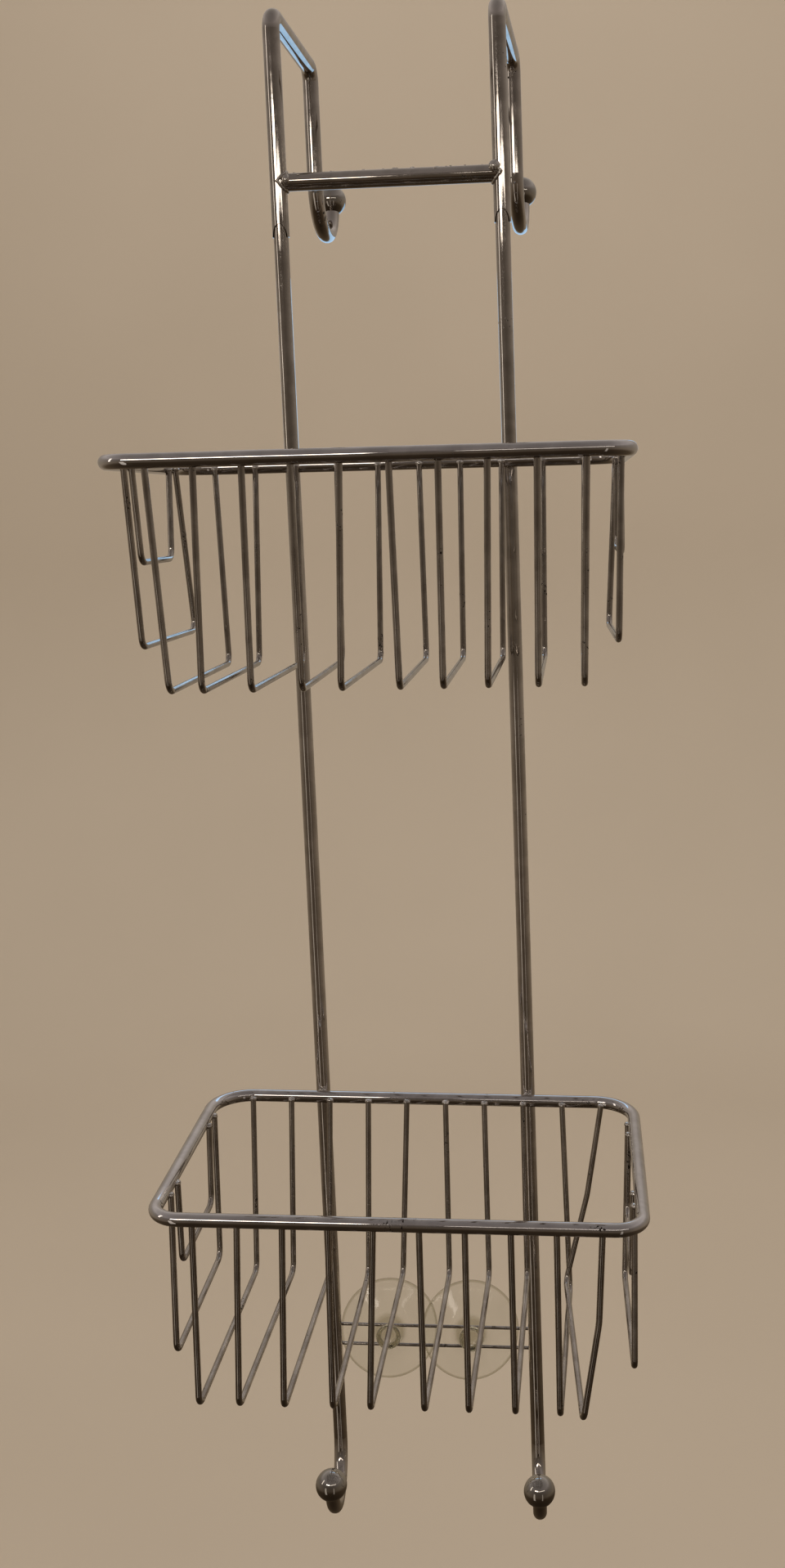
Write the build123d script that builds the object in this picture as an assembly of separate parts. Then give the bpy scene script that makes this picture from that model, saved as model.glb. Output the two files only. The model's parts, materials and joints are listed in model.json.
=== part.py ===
"""Over-door shower caddy: two wire baskets on a pair of uprights that plug into two door hooks.

Millimetres, +X to the right, +Y into the door, +Z up. The origin is midway between the two door
hooks, at the underside of their top runs, where they rest on the top edge of the door.
Each welded wire, tube, ball and suction cup is a solid of its own in parts/.
"""
from build123d import *
import os

# Door hooks: bent tube, plugged over the uprights
HOOK_TUBE_WALL = 0.6
HOOK_GAP = 100.0             # front leg to rear leg, centre to centre
HOOK_BEND_R = 8.0            # centre-line radius of the two top bends
HOOK_TURN = 2.6              # degrees that each hook is turned about its own front leg
FRONT_LEG_LENGTH = 114.0     # top run down to the mouth of the socket
REAR_LEG_LENGTH = 64.5       # top run down to the centre of the end curl
RIGHT_MOUTH_RAISE = 3.0      # the right front leg is cut this much shorter
SOCKET_ARCH = 6.5            # height of the arch cut in the mouth of the socket
SOCKET_DEPTH = 35.0          # how far an upright goes in above the mouth
CROSS_BAR_D = 9.2            # bar welded between the two front legs
CROSS_BAR_DROP = 85.7        # top run down to the bar

# Uprights: thinner tube with a curl at the foot
UPRIGHT_D = 8.0
UPRIGHT_WALL = 0.8
UPRIGHT_SPACING = 120.0      # centre to centre
UPRIGHT_LENGTH = 704.0       # mouth of the socket down to the centre of the end curl
LEFT_FOOT_RAISE = 3.6        # the left foot curl sits this much higher
CURL_R = 25.0                # centre-line radius of the curls, front and rear
FOOT_CURL_TURN = 2.3         # degrees that each foot curl is turned about its upright
BALL_D = 18.0                # ball tips pushed on to the four curls

# Baskets: a closed rim of thick wire with ribs of thin wire hung from it
UPPER_RIM_DROP = 122.0       # mouth of the socket down to the upper rim
BASKET_SPACING = 362.0       # upper rim down to lower rim
RIM_D = 7.0
RIM_WIDTH = 241.0            # centre line to centre line, left to right
RIM_DEPTH = 154.0            # centre line to centre line, front to rear
RIM_FRONT_CORNER_R = 14.0    # centre-line radii of the corners
RIM_REAR_CORNER_R = 22.0
RIB_D = 3.2
RIB_COUNT = 10
RIB_END_GAP = 19.7           # side rod to the first rib and to the last, centre to centre
RIB_DROP = 106.3             # rim centre line down to the centre line of the rib bottoms
RIB_BEND_R = 6.0
RIB_TAPER = 3.5              # how far each leg leans inwards, top to bottom
LONG_END_DROP = 88.0         # the deeper of the two end ribs on each side
LONG_END_SPAN = 98.0
SHORT_END_DROP = 47.0
SHORT_END_SPAN = 71.0
END_BEND_R = 6.0
END_RIB_INSET = 3.6          # side rod to end rib, centre to centre
WELD_SINK = 0.4              # how far a wire is pressed into the one it is welded to

# Set that the wires have taken in use: sideways at the foot of each rib, left to right
UPPER_FRONT_LEAN = [4.5, -2.5, -1.5, 0.0, -4.0, 1.0, -1.0, -2.5, -1.5, -2.5]
UPPER_REAR_LEAN = [3.0, -2.5, -0.5, -1.0, -2.0, 1.0, -1.0, -1.5, -1.0, -2.0]
LOWER_FRONT_LEAN = [-1.0, -3.0, -2.5, 0.0, -3.5, 1.5, 1.5, 2.5]
LOWER_REAR_LEAN = [-0.5, -1.0, -1.5, -1.0, -3.0, 2.0, 3.0, 3.0]
LOWER_SKEW = 1.5             # the rear ends of the lower ribs sit further to the right
LAST_RIB_FRONT_LEAN = -0.366  # the last lower rib is knocked over, in shares of the rib pitch
LAST_RIB_REAR_LEAN = -0.781
LAST_RIB_BOW = 0.134         # how far its legs bow outwards above the foot, likewise
LAST_RIB_BOW_R = 60.0
LAST_RIB_FOOT_SAG = 2.2      # the front of its foot hangs below the rear
LAST_RIB_REAR_PUSH = 4.3
CROSSED_RIB_FRONT_LEAN = 0.116  # its neighbour passes behind its leg and under its foot
CROSSED_RIB_REAR_LEAN = 0.326
CROSSED_RIB_REAR_SAG = 7.7
# and at the feet of the end ribs: towards the door (front foot, rear foot), then inwards
STRAIGHT = (0.0, 0.0, 0.0, 0.0)
END_RIB_SET = {
    "upper_left_long": (17.0, 24.0, -1.0, 0.0),
    "upper_left_short": (8.0, -5.0, 0.0, 0.0),
    "upper_right_long": (0.0, 0.0, 2.0, 4.5),
    "lower_left_long": (-2.0, 1.0, 0.0, 0.0),
    "lower_left_short": (3.0, -1.0, 0.0, 0.0),
    "lower_right_long": (-6.0, -10.0, -1.5, 0.5),
}
UPPER_DROOP = 1.3            # degrees that each basket hangs down at the front
LOWER_DROOP = 2.7
UPPER_ROLL = 0.4             # degrees that each basket is low at its right end
LOWER_ROLL = 1.9

# Suction cups, held between two thin wires behind the uprights
WIRE_D = 2.0
WIRE_SPACING = 12.4
WIRE_OVERHANG = 2.0          # past the middle of each upright
WIRE_DROP = 515.8            # from the upper rim's level down to midway between the wires
WIRE_ROLL = 1.8              # degrees that the pair of wires is low at its right end
CUP_D = 60.0
CUP_LIP = 1.0                # thickness of the cup at its edge
CUP_DISH_FRONT = 14.0        # wire plane to the front of the dish, at the shoulder
CUP_LIP_FRONT = 18.5         # wire plane to the front of the lip
CUP_HOLLOW = 16.0            # wire plane to the middle of the hollow
SHOULDER_D = 24.0            # where the boss meets the dish
BOSS_D = 16.0                # boss behind the wires
KNOB_D = 15.0                # button in front of the wires
KNOB_LENGTH = 4.5
GROOVE_HALF = 3.6            # half the width of the groove that the wires lie in
NECK_CLEARANCE = 0.8         # neck to wire, above and below
KNOB_ROUND = 1.2
CUP_TURN = 5.0               # degrees that both cups are turned, so that their edges overlap
CUP_NOD = 16.0               # degrees that both cups face upwards, loose on the wires
CUP_OVERLAP = 10.1           # how far the edge of one cup lies behind the other
CUP_PAIR_X = -3.55           # middle of the pair of cups

# Places that follow from the sizes above
LEFT = -1
RIGHT = 1
SIDE_NAMES = {LEFT: "left", RIGHT: "right"}
TUBE_D = UPRIGHT_D + 2 * HOOK_TUBE_WALL
UPRIGHT_X = UPRIGHT_SPACING / 2
UPRIGHT_Y = -HOOK_GAP / 2
TOP_RUN_Z = TUBE_D / 2
SOCKET_Z = TOP_RUN_Z - FRONT_LEG_LENGTH
CROSS_BAR_Z = TOP_RUN_Z - CROSS_BAR_DROP
REAR_CURL_Z = TOP_RUN_Z - REAR_LEG_LENGTH
UPRIGHT_TOP_Z = SOCKET_Z + SOCKET_DEPTH
FOOT_CURL_Z = SOCKET_Z - UPRIGHT_LENGTH
MOUTH_RAISE = {LEFT: 0.0, RIGHT: RIGHT_MOUTH_RAISE}
FOOT_RAISE = {LEFT: LEFT_FOOT_RAISE, RIGHT: 0.0}
UPPER_RIM_Z = SOCKET_Z - UPPER_RIM_DROP
LOWER_RIM_Z = UPPER_RIM_Z - BASKET_SPACING
RIM_Y = UPRIGHT_Y - (UPRIGHT_D + RIM_D) / 2 + WELD_SINK
RIB_OFFSET = (RIM_D + RIB_D) / 2 - WELD_SINK
RIB_PITCH = (RIM_WIDTH - 2 * RIB_END_GAP) / (RIB_COUNT - 1)
WIRE_Y = UPRIGHT_Y + (UPRIGHT_D + WIRE_D) / 2 - WELD_SINK
WIRE_Z = UPPER_RIM_Z - WIRE_DROP
LEFT_CUP_X = CUP_PAIR_X - (CUP_D - CUP_OVERLAP) / 2
RIGHT_CUP_X = CUP_PAIR_X + (CUP_D - CUP_OVERLAP) / 2
END_RIB_SIZES = (("long", LONG_END_SPAN, LONG_END_DROP), ("short", SHORT_END_SPAN, SHORT_END_DROP))
WIRE_PLACE = Pos(0, WIRE_Y, WIRE_Z) * Rot(0, WIRE_ROLL, 0)


def rod(path, diameter):
    """A round bar that follows a path."""
    start = path ^ 0
    return sweep(start * Circle(diameter / 2), path=path)


def hook_path(mouth_z):
    """Centre line of a door hook, from socket mouth over the door to the end of the rear curl."""
    legs = FilletPolyline(
        (0, 0, mouth_z),
        (0, 0, TOP_RUN_Z),
        (0, HOOK_GAP, TOP_RUN_Z),
        (0, HOOK_GAP, REAR_CURL_Z),
        radius=HOOK_BEND_R,
    )
    curl = ThreePointArc(
        (0, HOOK_GAP, REAR_CURL_Z),
        (0, HOOK_GAP + CURL_R, REAR_CURL_Z - CURL_R),
        (0, HOOK_GAP + 2 * CURL_R, REAR_CURL_Z),
    )
    return Wire(legs.edges() + curl.edges())


def foot_path(curl_z):
    """Centre line of an upright, from its top inside the socket to the end of the foot curl."""
    stem = Line((0, 0, UPRIGHT_TOP_Z), (0, 0, curl_z))
    curl = ThreePointArc(
        (0, 0, curl_z),
        (0, -CURL_R, curl_z - CURL_R),
        (0, -2 * CURL_R, curl_z),
    )
    return Wire(stem.edges() + curl.edges())


def at_leg(shape, side, turn):
    """Turn a piece about its front leg and move it to the left or right side."""
    return Pos(side * UPRIGHT_X, UPRIGHT_Y, 0) * Rot(0, 0, turn) * shape


def hook_tube(side):
    """Door hook: a tube with an arched mouth that the upright plugs into."""
    mouth_z = SOCKET_Z + MOUTH_RAISE[side]
    path = hook_path(mouth_z)
    tube = rod(path, TUBE_D) - rod(path, UPRIGHT_D)
    arch = Pos(0, 0, mouth_z) * Rot(90, 0, 0) * extrude(
        Ellipse(UPRIGHT_D / 2, SOCKET_ARCH), TUBE_D, both=True
    )
    return at_leg(tube - arch, side, -HOOK_TURN)


def cross_bar():
    """Bar between the two front legs, its ends shaped to the tubes they are welded to."""
    bar = Pos(0, UPRIGHT_Y, CROSS_BAR_Z) * Rot(0, 90, 0) * Cylinder(
        CROSS_BAR_D / 2, UPRIGHT_SPACING - TUBE_D / 2
    )
    for side in SIDE_NAMES:
        leg = Pos(side * UPRIGHT_X, UPRIGHT_Y, CROSS_BAR_Z) * Cylinder(TUBE_D / 2, 3 * TUBE_D)
        bar = bar - leg
    return bar


def upright(side):
    """Upright tube with its foot curl."""
    path = foot_path(FOOT_CURL_Z + FOOT_RAISE[side])
    tube = rod(path, UPRIGHT_D) - rod(path, UPRIGHT_D - 2 * UPRIGHT_WALL)
    return at_leg(tube, side, FOOT_CURL_TURN)


def rear_ball(side):
    """Ball tip on the rear curl of a door hook."""
    ball = Pos(0, HOOK_GAP + 2 * CURL_R, REAR_CURL_Z) * Sphere(BALL_D / 2)
    return at_leg(ball - rod(hook_path(SOCKET_Z), TUBE_D), side, -HOOK_TURN)


def front_ball(side):
    """Ball tip on the foot curl of an upright."""
    curl_z = FOOT_CURL_Z + FOOT_RAISE[side]
    ball = Pos(0, -2 * CURL_R, curl_z) * Sphere(BALL_D / 2)
    return at_leg(ball - rod(foot_path(curl_z), UPRIGHT_D), side, FOOT_CURL_TURN)


def rim_bar():
    """Closed rim in its own frame: the middle of the rear rod is at the origin."""
    outline = Pos(0, -RIM_DEPTH / 2) * Rectangle(RIM_WIDTH, RIM_DEPTH)
    outline = fillet(outline.vertices().group_by(Axis.Y)[0], RIM_FRONT_CORNER_R)
    outline = fillet(outline.vertices().group_by(Axis.Y)[-1], RIM_REAR_CORNER_R)
    path = outline.wire()
    return sweep((path ^ 0) * Circle(RIM_D / 2), path=path)


def basket_place(rim_z, droop, roll):
    """Place of a basket's own frame on the uprights."""
    return Pos(0, RIM_Y, rim_z) * Rot(0, roll, 0) * Rot(droop, 0, 0)


def full_rib(x, front_lean, rear_lean, skew):
    """Rib from the front rod, under the basket and up to the rear rod."""
    front = -RIM_DEPTH + RIB_OFFSET
    rear = -RIB_OFFSET
    path = FilletPolyline(
        (x, front, 0),
        (x + front_lean, front + RIB_TAPER, -RIB_DROP),
        (x + skew + rear_lean, rear - RIB_TAPER, -RIB_DROP),
        (x + skew, rear, 0),
        radius=RIB_BEND_R,
    )
    return rod(path, RIB_D)


def last_rib(x):
    """The lower rib that is knocked over: its foot is off to one side and its legs are bowed."""
    front = -RIM_DEPTH + RIB_OFFSET
    rear = -RIB_OFFSET
    rear_foot_y = rear - RIB_TAPER - LAST_RIB_REAR_PUSH
    half = -RIB_DROP / 2
    front_foot_x = x + LAST_RIB_FRONT_LEAN * RIB_PITCH
    rear_foot_x = x + LAST_RIB_REAR_LEAN * RIB_PITCH
    bow = LAST_RIB_BOW * RIB_PITCH
    path = FilletPolyline(
        (x, front, 0),
        ((x + front_foot_x) / 2 + bow, front + RIB_TAPER / 2, half),
        (front_foot_x, front + RIB_TAPER, -RIB_DROP - LAST_RIB_FOOT_SAG),
        (rear_foot_x, rear_foot_y, -RIB_DROP),
        ((x + rear_foot_x) / 2 + bow, (rear + rear_foot_y) / 2, half),
        (x + LOWER_SKEW, rear, 0),
        radius=[LAST_RIB_BOW_R, RIB_BEND_R, RIB_BEND_R, LAST_RIB_BOW_R],
    )
    return rod(path, RIB_D)


def crossed_rib(x):
    """The lower rib beside it, which passes behind the last rib's leg and under its foot."""
    front = -RIM_DEPTH + RIB_OFFSET
    rear = -RIB_OFFSET
    front_foot_x = x + CROSSED_RIB_FRONT_LEAN * RIB_PITCH
    rear_foot_x = x + CROSSED_RIB_REAR_LEAN * RIB_PITCH
    path = FilletPolyline(
        (x, front, 0),
        (front_foot_x, front + RIB_TAPER, -RIB_DROP),
        (rear_foot_x, rear - RIB_TAPER, -RIB_DROP - CROSSED_RIB_REAR_SAG),
        (x + LOWER_SKEW, rear, 0),
        radius=RIB_BEND_R,
    )
    return rod(path, RIB_D)


def end_rib(side, span, drop, foot_set):
    """U-shaped rib hung from a side rod of the rim."""
    front_push, rear_push, front_inwards, rear_inwards = foot_set
    x = side * (RIM_WIDTH / 2 - END_RIB_INSET)
    front = -RIM_DEPTH / 2 - span / 2
    rear = -RIM_DEPTH / 2 + span / 2
    path = FilletPolyline(
        (x, front, 0),
        (x - side * front_inwards, front + front_push, -drop),
        (x - side * rear_inwards, rear + rear_push, -drop),
        (x, rear, 0),
        radius=END_BEND_R,
    )
    return rod(path, RIB_D)


def basket(name, place, ribs):
    """One basket: its rim, numbered ribs and four end ribs, as named solids."""
    rim = rim_bar()
    pieces = {}
    for number, rib in enumerate(ribs, start=1):
        pieces[f"{name}_rib_{number:02d}"] = place * (rib - rim)
    for side, side_name in SIDE_NAMES.items():
        for kind, span, drop in END_RIB_SIZES:
            end_set = END_RIB_SET.get(f"{name}_{side_name}_{kind}", STRAIGHT)
            rib = end_rib(side, span, drop, end_set)
            pieces[f"{name}_{side_name}_{kind}_end_rib"] = place * (rib - rim)
    rim = place * rim
    for side in SIDE_NAMES:
        post = Pos(side * UPRIGHT_X, UPRIGHT_Y, place.position.Z) * Cylinder(UPRIGHT_D / 2, 4 * RIM_D)
        rim = rim - post
    pieces[f"{name}_rim"] = rim
    return pieces


def rib_x(number):
    """Sideways place of a rib, numbered from the left."""
    return (number - (RIB_COUNT + 1) / 2) * RIB_PITCH


def cup_wire(height):
    """Thin wire welded across the backs of the uprights."""
    wire = WIRE_PLACE * Pos(0, 0, height) * Rot(0, 90, 0) * Cylinder(
        WIRE_D / 2, UPRIGHT_SPACING + 2 * WIRE_OVERHANG
    )
    for side in SIDE_NAMES:
        post = Pos(side * UPRIGHT_X, UPRIGHT_Y, WIRE_Z) * Cylinder(
            UPRIGHT_D / 2, 2 * WIRE_SPACING
        )
        wire = wire - post
    return wire


def suction_cup(x):
    """Moulded cup: knob, grooved neck, boss, and a shallow dish that opens towards the door."""
    neck_r = (WIRE_SPACING - WIRE_D) / 2 - NECK_CLEARANCE
    cup_r = CUP_D / 2
    lip_back = CUP_LIP_FRONT + CUP_LIP
    knob_front = -GROOVE_HALF - KNOB_LENGTH
    outline = Polyline(
        (0, knob_front),
        (KNOB_D / 2, knob_front),
        (KNOB_D / 2, -GROOVE_HALF),
        (neck_r, -GROOVE_HALF),
        (neck_r, GROOVE_HALF),
        (BOSS_D / 2, GROOVE_HALF),
        (SHOULDER_D / 2, CUP_DISH_FRONT),
        (cup_r, CUP_LIP_FRONT),
        (cup_r, lip_back),
        (0, CUP_HOLLOW),
        close=True,
    )
    face = make_face(outline)
    body = revolve(face, Axis.Y, 360)
    knob_edge = body.edges().filter_by(GeomType.CIRCLE).group_by(Axis.Y)[0]
    body = fillet(knob_edge, KNOB_ROUND)
    return WIRE_PLACE * Pos(x, 0, 0) * Rot(-CUP_NOD, 0, CUP_TURN) * body


def build():
    """All the pieces, by name."""
    pieces = {}
    for side, side_name in SIDE_NAMES.items():
        pieces[f"{side_name}_hook_tube"] = hook_tube(side)
        pieces[f"{side_name}_upright"] = upright(side)
        pieces[f"rear_{side_name}_ball"] = rear_ball(side)
        pieces[f"front_{side_name}_ball"] = front_ball(side)
    pieces["hook_cross_bar"] = cross_bar()
    upper_ribs = []
    for number, leans in enumerate(zip(UPPER_FRONT_LEAN, UPPER_REAR_LEAN), start=1):
        upper_ribs.append(full_rib(rib_x(number), *leans, 0.0))
    lower_ribs = []
    for number, leans in enumerate(zip(LOWER_FRONT_LEAN, LOWER_REAR_LEAN), start=1):
        lower_ribs.append(full_rib(rib_x(number), *leans, LOWER_SKEW))
    lower_ribs.append(crossed_rib(rib_x(RIB_COUNT - 1)))
    lower_ribs.append(last_rib(rib_x(RIB_COUNT)))
    upper_place = basket_place(UPPER_RIM_Z, UPPER_DROOP, UPPER_ROLL)
    lower_place = basket_place(LOWER_RIM_Z, LOWER_DROOP, LOWER_ROLL)
    pieces.update(basket("upper", upper_place, upper_ribs))
    pieces.update(basket("lower", lower_place, lower_ribs))
    pieces["upper_cup_wire"] = cup_wire(WIRE_SPACING / 2)
    pieces["lower_cup_wire"] = cup_wire(-WIRE_SPACING / 2)
    pieces["left_suction_cup"] = suction_cup(LEFT_CUP_X)
    pieces["right_suction_cup"] = suction_cup(RIGHT_CUP_X)
    return pieces


os.makedirs("parts", exist_ok=True)
for name, piece in build().items():
    export_step(piece, f"parts/{name}.step")
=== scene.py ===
import json
import math
import random

import bpy
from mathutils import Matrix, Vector


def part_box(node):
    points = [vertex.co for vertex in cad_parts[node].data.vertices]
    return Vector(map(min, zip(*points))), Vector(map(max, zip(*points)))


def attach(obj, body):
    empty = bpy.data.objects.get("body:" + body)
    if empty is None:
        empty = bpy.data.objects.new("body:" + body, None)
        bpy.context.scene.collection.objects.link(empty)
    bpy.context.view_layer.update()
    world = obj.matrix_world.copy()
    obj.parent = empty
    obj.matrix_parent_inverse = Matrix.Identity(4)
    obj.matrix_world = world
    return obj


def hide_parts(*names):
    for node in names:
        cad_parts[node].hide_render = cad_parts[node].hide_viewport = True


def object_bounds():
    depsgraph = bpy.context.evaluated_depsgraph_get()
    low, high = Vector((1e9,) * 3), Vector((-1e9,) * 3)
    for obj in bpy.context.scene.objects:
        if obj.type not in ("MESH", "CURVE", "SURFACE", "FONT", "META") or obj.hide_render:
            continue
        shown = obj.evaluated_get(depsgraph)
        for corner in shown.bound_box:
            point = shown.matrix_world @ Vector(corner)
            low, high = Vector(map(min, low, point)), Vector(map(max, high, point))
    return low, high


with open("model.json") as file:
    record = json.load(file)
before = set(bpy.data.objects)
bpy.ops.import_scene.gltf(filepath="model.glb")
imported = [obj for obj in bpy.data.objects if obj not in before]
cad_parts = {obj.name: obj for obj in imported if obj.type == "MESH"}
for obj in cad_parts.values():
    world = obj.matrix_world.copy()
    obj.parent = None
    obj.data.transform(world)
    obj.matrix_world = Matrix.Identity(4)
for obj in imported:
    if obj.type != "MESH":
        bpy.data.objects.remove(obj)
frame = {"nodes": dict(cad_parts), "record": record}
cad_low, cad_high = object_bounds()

MM = 0.001


# Camera: stands in front of the door, a little to the right of the caddy and level with the
# upper basket, and looks slightly down.
CAMERA_PLACE = (0.0935, -0.9220, -0.2756)
CAMERA_TURN = (81.212, 1.790, 2.976)
LENS = 35.855
SENSOR = 36.0
SIDE_SHIFT = -0.0626
bpy.ops.object.select_all(action="DESELECT")
bpy.ops.object.camera_add(location=CAMERA_PLACE, rotation=[math.radians(a) for a in CAMERA_TURN])
camera = bpy.context.object
camera.data.lens = LENS
camera.data.sensor_width = SENSOR
camera.data.shift_x = SIDE_SHIFT
bpy.context.scene.camera = camera


# Floor and backdrop: one sheet of pale warm paper that lies under the hanging caddy and curves
# up well behind it.
SHEET_WIDTH = 60.0
SHEET_FRONT = -30.0
SHEET_BACK = 3.2
SHEET_TOP = 9.0
FLOOR_DROP = 0.55
SHEET_CURVE = 1.1
CURVE_STEPS = 24
floor_height = cad_low.z - FLOOR_DROP
bpy.ops.mesh.primitive_plane_add(size=1, location=(0, 0, 0))
backdrop = bpy.context.object
backdrop.name = "backdrop"
backdrop.scale = (SHEET_WIDTH, SHEET_BACK - SHEET_FRONT, 1)
backdrop.location = (0, (SHEET_BACK + SHEET_FRONT) / 2, floor_height)
bpy.ops.object.transform_apply(location=True, rotation=True, scale=True)
bpy.ops.object.mode_set(mode="EDIT")
bpy.ops.mesh.select_all(action="DESELECT")
bpy.ops.mesh.select_mode(type="EDGE")
bpy.ops.object.mode_set(mode="OBJECT")
for edge in backdrop.data.edges:
    ends = [backdrop.data.vertices[v].co for v in edge.vertices]
    edge.select = min(end.y for end in ends) > SHEET_BACK - MM
bpy.ops.object.mode_set(mode="EDIT")
bpy.ops.mesh.extrude_region_move(TRANSFORM_OT_translate={"value": (0, 0, SHEET_TOP)})
bpy.ops.object.mode_set(mode="OBJECT")
for edge in backdrop.data.edges:
    ends = [backdrop.data.vertices[v].co for v in edge.vertices]
    level = all(abs(end.z - floor_height) < MM for end in ends)
    edge.select = level and min(end.y for end in ends) > SHEET_BACK - MM
bpy.ops.object.mode_set(mode="EDIT")
bpy.ops.mesh.bevel(offset=SHEET_CURVE, segments=CURVE_STEPS, affect="EDGES")
bpy.ops.object.mode_set(mode="OBJECT")
bpy.ops.object.shade_smooth()

PAPER = (0.735, 0.668, 0.586, 1)
PAPER_SHADE = (0.670, 0.607, 0.527, 1)
PAPER_ROUGHNESS = 0.8
PAPER_CLOUD_SCALE = 1.6
paper = bpy.data.materials.new("pale_paper")
paper.use_nodes = True
paper_shader = paper.node_tree.nodes["Principled BSDF"]
paper_shader.inputs["Roughness"].default_value = PAPER_ROUGHNESS
paper_place = paper.node_tree.nodes.new("ShaderNodeTexCoord")
paper_cloud = paper.node_tree.nodes.new("ShaderNodeTexNoise")
paper_cloud.inputs["Scale"].default_value = PAPER_CLOUD_SCALE
paper_tone = paper.node_tree.nodes.new("ShaderNodeValToRGB")
paper_tone.color_ramp.elements[0].color = PAPER_SHADE
paper_tone.color_ramp.elements[1].color = PAPER
paper.node_tree.links.new(paper_place.outputs["Object"], paper_cloud.inputs["Vector"])
paper.node_tree.links.new(paper_cloud.outputs["Fac"], paper_tone.inputs["Fac"])
paper.node_tree.links.new(paper_tone.outputs["Color"], paper_shader.inputs["Base Color"])
backdrop.data.materials.append(paper)
backdrop.visible_glossy = False


# Light: a dim warm room with a dark floor and a grey ceiling, which is what the chrome mirrors. A
# lamp over the viewer's left shoulder, a ceiling lamp and two lit doorways show in the plate as
# streaks. Two more light the backdrop and the top, and cool daylight comes in over the door.
# The tints run from straight down to straight up, and multiply the room's own tones.
PALE_WALL = (0.390, 0.335, 0.268, 1)
ROOM_FRONT = (0.120, 0.096, 0.076, 1)
ROOM_SIDE = (0.260, 0.216, 0.176, 1)
ROOM_BACK = (0.400, 0.340, 0.272, 1)
HEIGHT_TINTS = (
    (0.00, (0.10, 0.08, 0.06, 1)),
    (0.24, (0.24, 0.20, 0.15, 1)),
    (0.38, (0.70, 0.66, 0.60, 1)),
    (0.52, (0.74, 0.73, 0.71, 1)),
    (0.66, (0.80, 0.82, 0.88, 1)),
    (0.78, (1.30, 1.38, 1.60, 1)),
    (1.00, (0.80, 0.86, 1.00, 1)),
)
room = bpy.data.worlds.new("room")
bpy.context.scene.world = room
bpy.context.scene.view_settings.view_transform = "Standard"
room.use_nodes = True
room_nodes = room.node_tree.nodes
room_links = room.node_tree.links
room_way = room_nodes.new("ShaderNodeTexCoord")
room_axes = room_nodes.new("ShaderNodeSeparateXYZ")
room_links.new(room_way.outputs["Generated"], room_axes.inputs["Vector"])
room_depth = room_nodes.new("ShaderNodeMapRange")
room_depth.inputs["From Min"].default_value = -1.0
room_links.new(room_axes.outputs["Y"], room_depth.inputs["Value"])
room_tone = room_nodes.new("ShaderNodeValToRGB")
room_tone.color_ramp.elements[0].color = ROOM_FRONT
room_tone.color_ramp.elements[1].color = ROOM_BACK
room_tone.color_ramp.elements.new(0.5).color = ROOM_SIDE
room_links.new(room_depth.outputs["Result"], room_tone.inputs["Fac"])
room_height = room_nodes.new("ShaderNodeMapRange")
room_height.inputs["From Min"].default_value = -1.0
room_links.new(room_axes.outputs["Z"], room_height.inputs["Value"])
room_tint = room_nodes.new("ShaderNodeValToRGB")
tints = room_tint.color_ramp.elements
tints[0].position, tints[0].color = HEIGHT_TINTS[0]
tints[1].position, tints[1].color = HEIGHT_TINTS[-1]
for position, colour in HEIGHT_TINTS[1:-1]:
    tints.new(position).color = colour
room_links.new(room_height.outputs["Result"], room_tint.inputs["Fac"])
room_mix = room_nodes.new("ShaderNodeMix")
room_mix.data_type = "RGBA"
room_mix.blend_type = "MULTIPLY"
room_mix.inputs["Factor"].default_value = 1.0
room_links.new(room_tone.outputs["Color"], room_mix.inputs["A"])
room_links.new(room_tint.outputs["Color"], room_mix.inputs["B"])
room_links.new(room_mix.outputs["Result"], room_nodes["Background"].inputs["Color"])
pale_wall = room_nodes.new("ShaderNodeBackground")
pale_wall.inputs["Color"].default_value = PALE_WALL
room_rays = room_nodes.new("ShaderNodeLightPath")
room_choice = room_nodes.new("ShaderNodeMixShader")
room_links.new(room_rays.outputs["Is Glossy Ray"], room_choice.inputs["Fac"])
room_links.new(pale_wall.outputs["Background"], room_choice.inputs[1])
room_links.new(room_nodes["Background"].outputs["Background"], room_choice.inputs[2])
room_links.new(room_choice.outputs["Shader"], room_nodes["World Output"].inputs["Surface"])


def lamp(name, place, aim, width, height, power, colour):
    """A soft rectangular lamp that faces a point."""
    bpy.ops.object.light_add(type="AREA", location=place)
    made = bpy.context.object
    made.name = name
    made.data.shape = "RECTANGLE"
    made.data.size = width
    made.data.size_y = height
    made.data.energy = power
    made.data.color = colour
    made.rotation_euler = (Vector(aim) - Vector(place)).to_track_quat("-Z", "Y").to_euler()
    made.visible_camera = False
    return made


WARM = (1.0, 0.90, 0.80)
COOL = (0.26, 0.60, 1.0)
CADDY_MIDDLE = (0, 0, (cad_low.z + cad_high.z) / 2)
BACKDROP_MIDDLE = (0, 3.0, -0.6)
HOOKS_MIDDLE = (0, 0, -0.06)
lamp("shoulder_lamp", (-0.80, -2.2, 0.45), CADDY_MIDDLE, 1.1, 0.24, 4.4, WARM)
lamp("ceiling_lamp", (0.85, -2.2, 0.45), CADDY_MIDDLE, 2.1, 0.08, 1.6, WARM)
lamp("left_doorway_lamp", (-1.2, -1.9, -1.4), CADDY_MIDDLE, 0.45, 1.8, 1.1, WARM)
lamp("right_doorway_lamp", (0.9, -2.1, -1.4), CADDY_MIDDLE, 0.25, 1.8, 0.40, WARM)
lamp("left_lamp", (-2.1, -0.8, 0.4), CADDY_MIDDLE, 0.30, 1.2, 1.6, WARM)
wall_lamp = lamp("wall_lamp", (0.0, 0.8, 2.6), BACKDROP_MIDDLE, 3.0, 1.0, 30, WARM)
wall_lamp.visible_glossy = False
top_lamp = lamp("top_lamp", (0.3, 0.2, 2.2), CADDY_MIDDLE, 1.6, 1.6, 8, WARM)
top_lamp.visible_glossy = False
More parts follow.
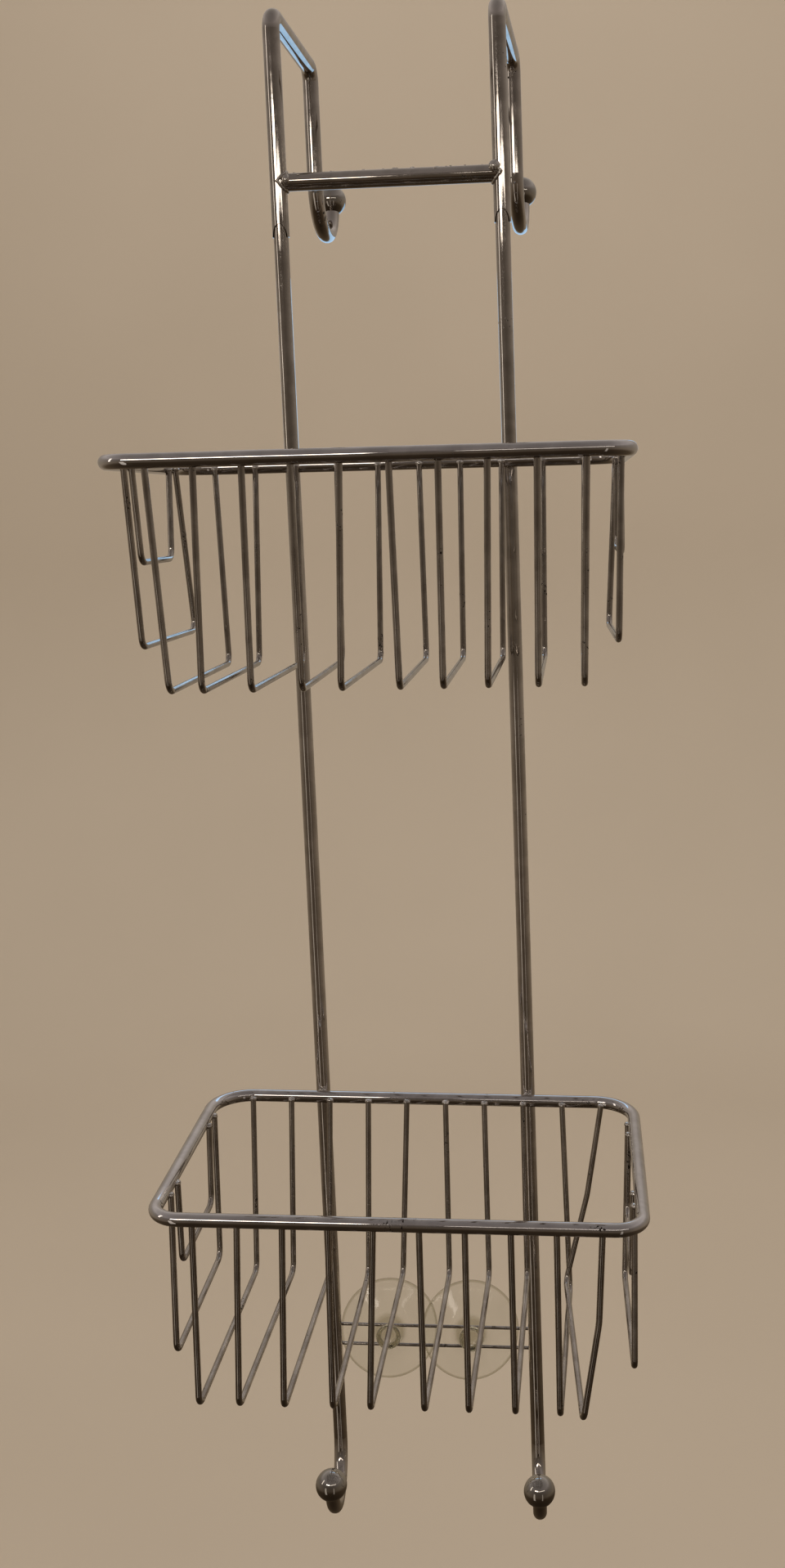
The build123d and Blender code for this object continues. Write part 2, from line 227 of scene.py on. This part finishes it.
lamp("daylight_over_door", (0.0, 0.42, -0.13), HOOKS_MIDDLE, 0.42, 0.16, 0.20, COOL)


# Chromed tube: the two door hooks, the bar between them and the two uprights are steel tube,
# polished along its length and plated with nickel and chrome. Years in a bathroom have left a
# haze, water marks and small dark pits in the plate.
PIT_BROWN = (0.035, 0.025, 0.018, 1)
WATER_MARK_SCALE = 70
PIT_SCALE = 620
PIT_CLUSTER_SCALE = 34
PIT_EDGE = 0.05
PIT_ROUGHNESS = 0.5
HAZE_SCALE = 210
HAZE_LEAST = 0.6
HAZE_MOST = 1.5
RIPPLE_STRENGTH = 0.06
RIPPLE_DEPTH = 0.1 * MM


def chrome(name, bright, dark, haze, pits):
    """Chrome plate with a fine haze, water marks and a few dark pits."""
    finish = bpy.data.materials.new(name)
    finish.use_nodes = True
    nodes = finish.node_tree.nodes
    links = finish.node_tree.links
    shader = nodes["Principled BSDF"]
    shader.inputs["Metallic"].default_value = 1.0
    place = nodes.new("ShaderNodeTexCoord")

    water_marks = nodes.new("ShaderNodeTexNoise")
    water_marks.inputs["Scale"].default_value = WATER_MARK_SCALE
    water_marks.inputs["Detail"].default_value = 5
    water_marks.inputs["Distortion"].default_value = 0.6
    links.new(place.outputs["Object"], water_marks.inputs["Vector"])
    plate = nodes.new("ShaderNodeValToRGB")
    plate.color_ramp.elements[0].position = 0.38
    plate.color_ramp.elements[0].color = dark
    plate.color_ramp.elements[1].position = 0.62
    plate.color_ramp.elements[1].color = bright
    links.new(water_marks.outputs["Fac"], plate.inputs["Fac"])

    pit_spots = nodes.new("ShaderNodeTexNoise")
    pit_spots.inputs["Scale"].default_value = PIT_SCALE
    pit_spots.inputs["Detail"].default_value = 2
    links.new(place.outputs["Object"], pit_spots.inputs["Vector"])
    pit_clusters = nodes.new("ShaderNodeTexNoise")
    pit_clusters.inputs["Scale"].default_value = PIT_CLUSTER_SCALE
    links.new(place.outputs["Object"], pit_clusters.inputs["Vector"])
    pit_strength = nodes.new("ShaderNodeMath")
    pit_strength.operation = "MULTIPLY"
    links.new(pit_spots.outputs["Fac"], pit_strength.inputs[0])
    links.new(pit_clusters.outputs["Fac"], pit_strength.inputs[1])
    pit_mask = nodes.new("ShaderNodeMapRange")
    pit_mask.inputs["From Min"].default_value = pits
    pit_mask.inputs["From Max"].default_value = pits + PIT_EDGE
    links.new(pit_strength.outputs["Value"], pit_mask.inputs["Value"])
    pitted = nodes.new("ShaderNodeMix")
    pitted.data_type = "RGBA"
    pitted.inputs["B"].default_value = PIT_BROWN
    links.new(pit_mask.outputs["Result"], pitted.inputs["Factor"])
    links.new(plate.outputs["Color"], pitted.inputs["A"])
    links.new(pitted.outputs["Result"], shader.inputs["Base Color"])

    fine_haze = nodes.new("ShaderNodeTexNoise")
    fine_haze.inputs["Scale"].default_value = HAZE_SCALE
    fine_haze.inputs["Detail"].default_value = 6
    links.new(place.outputs["Object"], fine_haze.inputs["Vector"])
    gloss = nodes.new("ShaderNodeMapRange")
    gloss.inputs["From Min"].default_value = 0.3
    gloss.inputs["From Max"].default_value = 0.7
    gloss.inputs["To Min"].default_value = haze * HAZE_LEAST
    gloss.inputs["To Max"].default_value = haze * HAZE_MOST
    links.new(fine_haze.outputs["Fac"], gloss.inputs["Value"])
    rough = nodes.new("ShaderNodeMath")
    rough.operation = "MULTIPLY_ADD"
    rough.inputs[1].default_value = PIT_ROUGHNESS
    links.new(pit_mask.outputs["Result"], rough.inputs[0])
    links.new(gloss.outputs["Result"], rough.inputs[2])
    links.new(rough.outputs["Value"], shader.inputs["Roughness"])

    ripple = nodes.new("ShaderNodeBump")
    ripple.inputs["Strength"].default_value = RIPPLE_STRENGTH
    ripple.inputs["Distance"].default_value = RIPPLE_DEPTH
    links.new(fine_haze.outputs["Fac"], ripple.inputs["Height"])
    links.new(ripple.outputs["Normal"], shader.inputs["Normal"])
    return finish


def plate_nodes(finish, names):
    """Gives the CAD nodes of these names a finish."""
    for name in names:
        for holder in frame["nodes"][name].material_slots:
            holder.material = finish


TUBE_BRIGHT = (0.66, 0.615, 0.57, 1)
TUBE_DARK = (0.52, 0.48, 0.435, 1)
TUBE_HAZE = 0.06
TUBE_PITS = 0.43
chromed_tube = chrome("chromed_tube_finish", TUBE_BRIGHT, TUBE_DARK, TUBE_HAZE, TUBE_PITS)
SIDES = ("left", "right")
tubes = ["hook_cross_bar"]
for side in SIDES:
    tubes += [f"{side}_hook_tube", f"{side}_upright"]
plate_nodes(chromed_tube, tubes)


# Rims: each basket hangs from a closed frame of 7 mm wire, bent round four corners and butt
# welded. It is the smoothest and brightest plate on the caddy.
RIM_BRIGHT = (0.74, 0.715, 0.705, 1)
RIM_DARK = (0.62, 0.595, 0.585, 1)
BASKETS = ("upper", "lower")
RIM_HAZE = 0.045
RIM_PITS = 0.44
chromed_rim = chrome("chromed_rim_finish", RIM_BRIGHT, RIM_DARK, RIM_HAZE, RIM_PITS)
plate_nodes(chromed_rim, [f"{basket}_rim" for basket in BASKETS])


# Ribs and cup wires: thin drawn wire, bent cold and spot welded. The plate is thinner here and
# duller, with more pits.
WIRE_BRIGHT = (0.57, 0.53, 0.485, 1)
WIRE_DARK = (0.43, 0.39, 0.35, 1)
WIRE_HAZE = 0.09
WIRE_PITS = 0.40
chromed_wire = chrome("chromed_wire_finish", WIRE_BRIGHT, WIRE_DARK, WIRE_HAZE, WIRE_PITS)
ribs = [name for name in sorted(frame["nodes"]) if "_rib" in name]
cup_wires = ["upper_cup_wire", "lower_cup_wire"]
plate_nodes(chromed_wire, ribs + cup_wires)


# Ball tips: turned steel balls, drilled and pressed on the four curls, with a bright buffed
# plate. Their chrome colour is painted darker than the tubes': painted shade that stands in for
# the shaded surroundings the balls mirror.
BALL_SHADE_PAINTED_BRIGHT = (0.52, 0.495, 0.455, 1)
BALL_SHADE_PAINTED_DARK = (0.42, 0.395, 0.36, 1)
BALL_HAZE = 0.03
BALL_PITS = 0.43
# the ball chrome's darker colour is painted shade, not a duller plate
shade_painted_ball_chrome = chrome("shade_painted_ball_finish", BALL_SHADE_PAINTED_BRIGHT, BALL_SHADE_PAINTED_DARK, BALL_HAZE, BALL_PITS)
plate_nodes(shade_painted_ball_chrome, [f"{end}_{side}_ball" for end in ("front", "rear") for side in SIDES])


# Rib welds: where the squared-off end of a rib is pressed into the rim, the spot weld squeezes
# out a small nub of metal. All weld lumps get a chrome painted lighter than the tubes': a
# painted highlight standing in for the glints on these small lumps. One nub is modelled and
# copied to each rib end.
NUB_SIZE = (2.25 * MM, 2.25 * MM, 1.5 * MM)
WELD_GLINT_PAINTED_BRIGHT = (0.86, 0.83, 0.79, 1)
WELD_GLINT_PAINTED_DARK = (0.60, 0.56, 0.51, 1)
WELD_HAZE = 0.2
WELD_PITS = 0.42
UNEVENNESS = 0.22
RIB_END_LENGTH = 3 * MM
glint_painted_weld_metal = chrome("glint_painted_weld_finish", WELD_GLINT_PAINTED_BRIGHT, WELD_GLINT_PAINTED_DARK, WELD_HAZE, WELD_PITS)


def nub(place, size, seed):
    """One lump of weld metal, an uneven squashed bead."""
    bpy.ops.object.select_all(action="DESELECT")
    bpy.ops.mesh.primitive_uv_sphere_add(segments=12, ring_count=8, radius=1, location=place)
    lump = bpy.context.object
    lump.scale = size
    bpy.ops.object.transform_apply(location=True, rotation=True, scale=True)
    bpy.ops.object.mode_set(mode="EDIT")
    bpy.ops.mesh.select_all(action="SELECT")
    bpy.ops.transform.vertex_random(offset=min(size) * UNEVENNESS, uniform=0.5, seed=seed)
    bpy.ops.object.mode_set(mode="OBJECT")
    bpy.ops.object.shade_smooth()
    return lump


def join_welds(lumps, name):
    """Makes the lumps one piece on the frame."""
    bpy.ops.object.select_all(action="DESELECT")
    for lump in lumps:
        lump.select_set(True)
    bpy.context.view_layer.objects.active = lumps[0]
    bpy.ops.object.join()
    welds = bpy.context.object
    welds.name = name
    # the weld lumps' lighter chrome is a painted highlight for their glints
    welds.data.materials.append(glint_painted_weld_metal)
    bpy.ops.object.origin_set(type="ORIGIN_CURSOR")
    smooth = welds.modifiers.new("smooth", "SUBSURF")
    smooth.levels = 1
    smooth.render_levels = 1
    bpy.ops.object.modifier_apply(modifier="smooth")
    bpy.ops.object.shade_smooth()
    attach(welds, "frame")
    return welds


def rib_tops(name):
    """Middle of each of a rib's two top ends."""
    points = [vertex.co for vertex in frame["nodes"][name].data.vertices]
    low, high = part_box(name)
    middle = (low.y + high.y) / 2
    tops = []
    for leg in ([p for p in points if p.y < middle], [p for p in points if p.y >= middle]):
        top = max(p.z for p in leg)
        end = [p for p in leg if p.z > top - RIB_END_LENGTH]
        tops.append(sum(end, Vector()) / len(end))
    return tops


for basket in BASKETS:
    lumps = []
    for rib in [name for name in ribs if name.startswith(basket)]:
        for top in rib_tops(rib):
            lumps.append(nub(top, NUB_SIZE, len(lumps) + 1))
    join_welds(lumps, f"{basket}_rib_welds")


# Cross bar welds: the bar's fish-mouthed ends are brazed to the legs of the hooks with a run of
# filler that follows the saddle between the two tubes, and a blob where each run ended. Specks
# of filler and flux are plated over along the top of the bar.
RUN_THICK = 1.15 * MM
RUN_GAP = 0.2 * MM
RUN_ROUGHNESS = 0.35 * MM
LEG_RADIUS = 4.6 * MM
bar_low, bar_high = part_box("hook_cross_bar")
bar_middle = (bar_low + bar_high) / 2
bar_radius = (bar_high.z - bar_low.z) / 2
BLOBS = {
    "left": ((4.6 * MM, -3.6 * MM, 0.6 * MM), (2.5 * MM, 2.3 * MM, 3.4 * MM)),
    "right": ((-3.3 * MM, -4.0 * MM, 2.8 * MM), (3.5 * MM, 2.5 * MM, 3.3 * MM)),
}
lumps = []
for side, way in (("left", -1), ("right", 1)):
    leg = Vector((way * (bar_high.x + LEG_RADIUS / 2), bar_middle.y, bar_middle.z))
    bpy.ops.object.select_all(action="DESELECT")
    bpy.ops.mesh.primitive_torus_add(
        major_radius=bar_radius + RUN_GAP, minor_radius=RUN_THICK,
        major_segments=48, minor_segments=10, rotation=(0, math.pi / 2, 0), location=(0, 0, 0),
    )
    run = bpy.context.object
    bpy.ops.object.transform_apply(location=True, rotation=True, scale=True)
    for vertex in run.data.vertices:
        around = math.atan2(vertex.co.z, vertex.co.y)
        vertex.co.x -= way * bar_radius * abs(math.sin(around))
    run.location = leg
    bpy.ops.object.transform_apply(location=True, rotation=True, scale=True)
    bpy.ops.object.mode_set(mode="EDIT")
    bpy.ops.mesh.select_all(action="SELECT")
    bpy.ops.transform.vertex_random(offset=RUN_ROUGHNESS, uniform=0.4, seed=7 + way)
    bpy.ops.object.mode_set(mode="OBJECT")
    lumps.append(run)
    offset, size = BLOBS[side]
    lumps.append(nub(leg + Vector(offset), size, 21 + way))
SPECKS = 26
SPECK_SIZE = 0.55 * MM
SPECK_SINK = 0.985
SPECK_LEAN = 22
SPECK_MARGIN = 6 * MM
chance = random.Random(5)
for number in range(SPECKS):
    along = chance.uniform(bar_low.x + SPECK_MARGIN, bar_high.x - SPECK_MARGIN)
    lean = math.radians(chance.gauss(0, SPECK_LEAN))
    out = bar_radius * SPECK_SINK
    place = (along, bar_middle.y + out * math.sin(lean), bar_middle.z + out * math.cos(lean))
    grown = SPECK_SIZE * chance.uniform(0.6, 1.5)
    lumps.append(nub(place, (grown * 1.6, grown, grown * 0.8), 40 + number))
join_welds(lumps, "cross_bar_welds")


# Rim welds: each rim is welded to the front of both uprights, with a small run of filler in the
# corner above the rim rod and another below it.
RIM_RUN = (2.6 * MM, 1.5 * MM, 1.5 * MM)
RIM_RUN_RISE = 2.6 * MM
SEAM_INSET = 0.6 * MM
UPRIGHT_RADIUS = 4.0 * MM
NEAR_SIDE = 4 * MM
NEAR_FRONT = 15 * MM
for basket in BASKETS:
    lumps = []
    for side in SIDES:
        upright_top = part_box(f"{side}_upright")[1].z
        stem = [v.co for v in frame["nodes"][f"{side}_upright"].data.vertices]
        stem = [co for co in stem if co.z > upright_top - MM]
        stem_middle = sum(stem, Vector()) / len(stem)
        rim_points = [v.co for v in frame["nodes"][f"{basket}_rim"].data.vertices]
        near = [co for co in rim_points if abs(co.x - stem_middle.x) < NEAR_SIDE]
        near = [co for co in near if co.y > stem_middle.y - NEAR_FRONT]
        rod_z = (max(co.z for co in near) + min(co.z for co in near)) / 2
        seam_y = stem_middle.y - UPRIGHT_RADIUS - SEAM_INSET
        for way in (-1, 1):
            place = (stem_middle.x, seam_y, rod_z + way * RIM_RUN_RISE)
            lumps.append(nub(place, RIM_RUN, 80 + len(lumps)))
    join_welds(lumps, f"{basket}_rim_welds")


# Cup wire welds: both thin wires are spot welded across the backs of the uprights.
WIRE_NUB = (1.7 * MM, 1.3 * MM, 1.5 * MM)
NUB_IN = 1.2 * MM
NUB_BACK = 0.9 * MM
NUB_DOWN = 1.0 * MM
lumps = []
for wire in cup_wires:
    wire_low, wire_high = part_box(wire)
    for end_x, end_z in ((wire_low.x, wire_high.z), (wire_high.x, wire_low.z)):
        inwards = -1 if end_x > 0 else 1
        place = (end_x + inwards * NUB_IN, wire_low.y + NUB_BACK, end_z - inwards * NUB_DOWN)
        lumps.append(nub(place, WIRE_NUB, 100 + len(lumps)))
join_welds(lumps, "cup_wire_welds")


# Suction cups: moulded in one piece from clear soft PVC. A button and a grooved neck hold the
# cup between the two thin wires, and a thin dish spreads from the boss to a beaded lip.
PVC_CLEAR = (0.965, 0.970, 0.950, 1)
PVC_CLOUDY = (0.885, 0.895, 0.860, 1)
PVC_THICK = (0.60, 0.59, 0.50, 1)
PVC_CLOUD_SCALE = 90
PVC_SMOOTHEST = 0.02
PVC_ROUGHEST = 0.12


def soft_pvc(name):
    """Clear PVC: almost colourless where it is thin, grey-green in the thick stem and button."""
    finish = bpy.data.materials.new(name)
    finish.use_nodes = True
    nodes = finish.node_tree.nodes
    links = finish.node_tree.links
    shader = nodes["Principled BSDF"]
    shader.inputs["Transmission Weight"].default_value = 1.0
    shader.inputs["IOR"].default_value = 1.42
    place = nodes.new("ShaderNodeTexCoord")
    cloud = nodes.new("ShaderNodeTexNoise")
    cloud.inputs["Scale"].default_value = PVC_CLOUD_SCALE
    cloud.inputs["Detail"].default_value = 3
    links.new(place.outputs["Object"], cloud.inputs["Vector"])
    thin = nodes.new("ShaderNodeValToRGB")
    thin.color_ramp.elements[0].color = PVC_CLOUDY
    thin.color_ramp.elements[1].color = PVC_CLEAR
    links.new(cloud.outputs["Fac"], thin.inputs["Fac"])
    thick = nodes.new("ShaderNodeAttribute")
    thick.attribute_name = "thick"
    tint = nodes.new("ShaderNodeMix")
    tint.data_type = "RGBA"
    tint.inputs["B"].default_value = PVC_THICK
    links.new(thick.outputs["Fac"], tint.inputs["Factor"])
    links.new(thin.outputs["Color"], tint.inputs["A"])
    links.new(tint.outputs["Result"], shader.inputs["Base Color"])
    gloss = nodes.new("ShaderNodeMapRange")
    gloss.inputs["To Min"].default_value = PVC_SMOOTHEST
    gloss.inputs["To Max"].default_value = PVC_ROUGHEST
    links.new(cloud.outputs["Fac"], gloss.inputs["Value"])
    links.new(gloss.outputs["Result"], shader.inputs["Roughness"])
    ripple = nodes.new("ShaderNodeBump")
    ripple.inputs["Strength"].default_value = 0.10
    ripple.inputs["Distance"].default_value = 0.3 * MM
    links.new(cloud.outputs["Fac"], ripple.inputs["Height"])
    links.new(ripple.outputs["Normal"], shader.inputs["Normal"])
    return finish


clear_pvc = soft_pvc("clear_pvc_finish")
# Half a cup in section, in mm: distance from its axis, and height in front of the lip's plane.
CUP_OUTLINE = (
    (0.0, 26.5), (2.0, 26.6), (2.9, 27.1), (6.0, 27.4), (7.2, 26.7), (7.4, 25.2), (7.1, 23.8),
    (6.0, 23.2), (4.6, 22.9), (4.3, 22.0), (4.3, 17.2), (4.7, 16.2), (6.8, 15.8), (7.9, 15.0),
    (8.5, 13.4), (9.5, 9.8), (10.6, 6.9), (12.4, 5.3), (15.0, 4.6), (18.5, 3.8), (22.5, 2.8),
    (26.5, 1.8), (28.2, 1.4), (28.9, 1.45), (29.6, 1.3), (29.9, 0.75), (29.7, 0.2), (29.0, 0.05),
    (28.2, 0.35), (26.5, 0.85), (22.5, 1.7), (18.5, 2.4), (15.0, 2.8), (10.0, 3.1), (5.0, 3.2),
    (0.0, 3.2),
)
CUP_SEGMENTS = 64
JOIN_DISTANCE = 0.01 * MM
STEM_RADIUS = 9.0 * MM
BEAD_RADIUS = 28.6 * MM
BEAD_TINT = 0.8
mounts = {mount["name"]: mount for mount in frame["record"]["mounts"]}
for side in SIDES:
    face = mounts[f"{side}_cup_face"]
    bpy.ops.object.select_all(action="DESELECT")
    bpy.ops.mesh.primitive_plane_add(size=MM, location=(0, 0, 0))
    cup = bpy.context.object
    cup.name = f"{side}_clear_cup"
    bpy.ops.object.mode_set(mode="EDIT")
    bpy.ops.mesh.select_mode(type="VERT")
    bpy.ops.mesh.select_all(action="SELECT")
    bpy.ops.mesh.merge(type="CENTER")
    at = Vector((0, 0, 0))
    for radius, height in CUP_OUTLINE:
        step = Vector((radius * MM, 0, height * MM)) - at
        if radius == 0 and at.length == 0:
            bpy.ops.transform.translate(value=step)
        else:
            bpy.ops.mesh.extrude_vertices_move(TRANSFORM_OT_translate={"value": step})
        at = at + step
    bpy.ops.mesh.select_all(action="SELECT")
    bpy.ops.mesh.spin(steps=CUP_SEGMENTS, angle=2 * math.pi, center=(0, 0, 0), axis=(0, 0, 1))
    bpy.ops.mesh.select_all(action="SELECT")
    bpy.ops.mesh.remove_doubles(threshold=JOIN_DISTANCE)
    bpy.ops.mesh.normals_make_consistent(inside=False)
    bpy.ops.object.mode_set(mode="OBJECT")
    thick = cup.data.attributes.new("thick", "FLOAT", "POINT")
    for vertex, share in zip(cup.data.vertices, thick.data):
        from_axis = math.hypot(vertex.co.x, vertex.co.y)
        if from_axis < STEM_RADIUS:
            share.value = 1.0
        elif from_axis > BEAD_RADIUS:
            share.value = BEAD_TINT
    cup.rotation_euler = (-Vector(face["axis"])).to_track_quat("Z", "Y").to_euler()
    cup.location = face["pos_m"]
    bpy.ops.object.transform_apply(location=True, rotation=True, scale=True)
    fine = cup.modifiers.new("fine", "SUBSURF")
    fine.levels = 1
    fine.render_levels = 1
    bpy.ops.object.modifier_apply(modifier="fine")
    bpy.ops.object.shade_smooth()
    cup.data.materials.append(clear_pvc)
    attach(cup, f"{side}_cup")
    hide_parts(f"{side}_suction_cup")
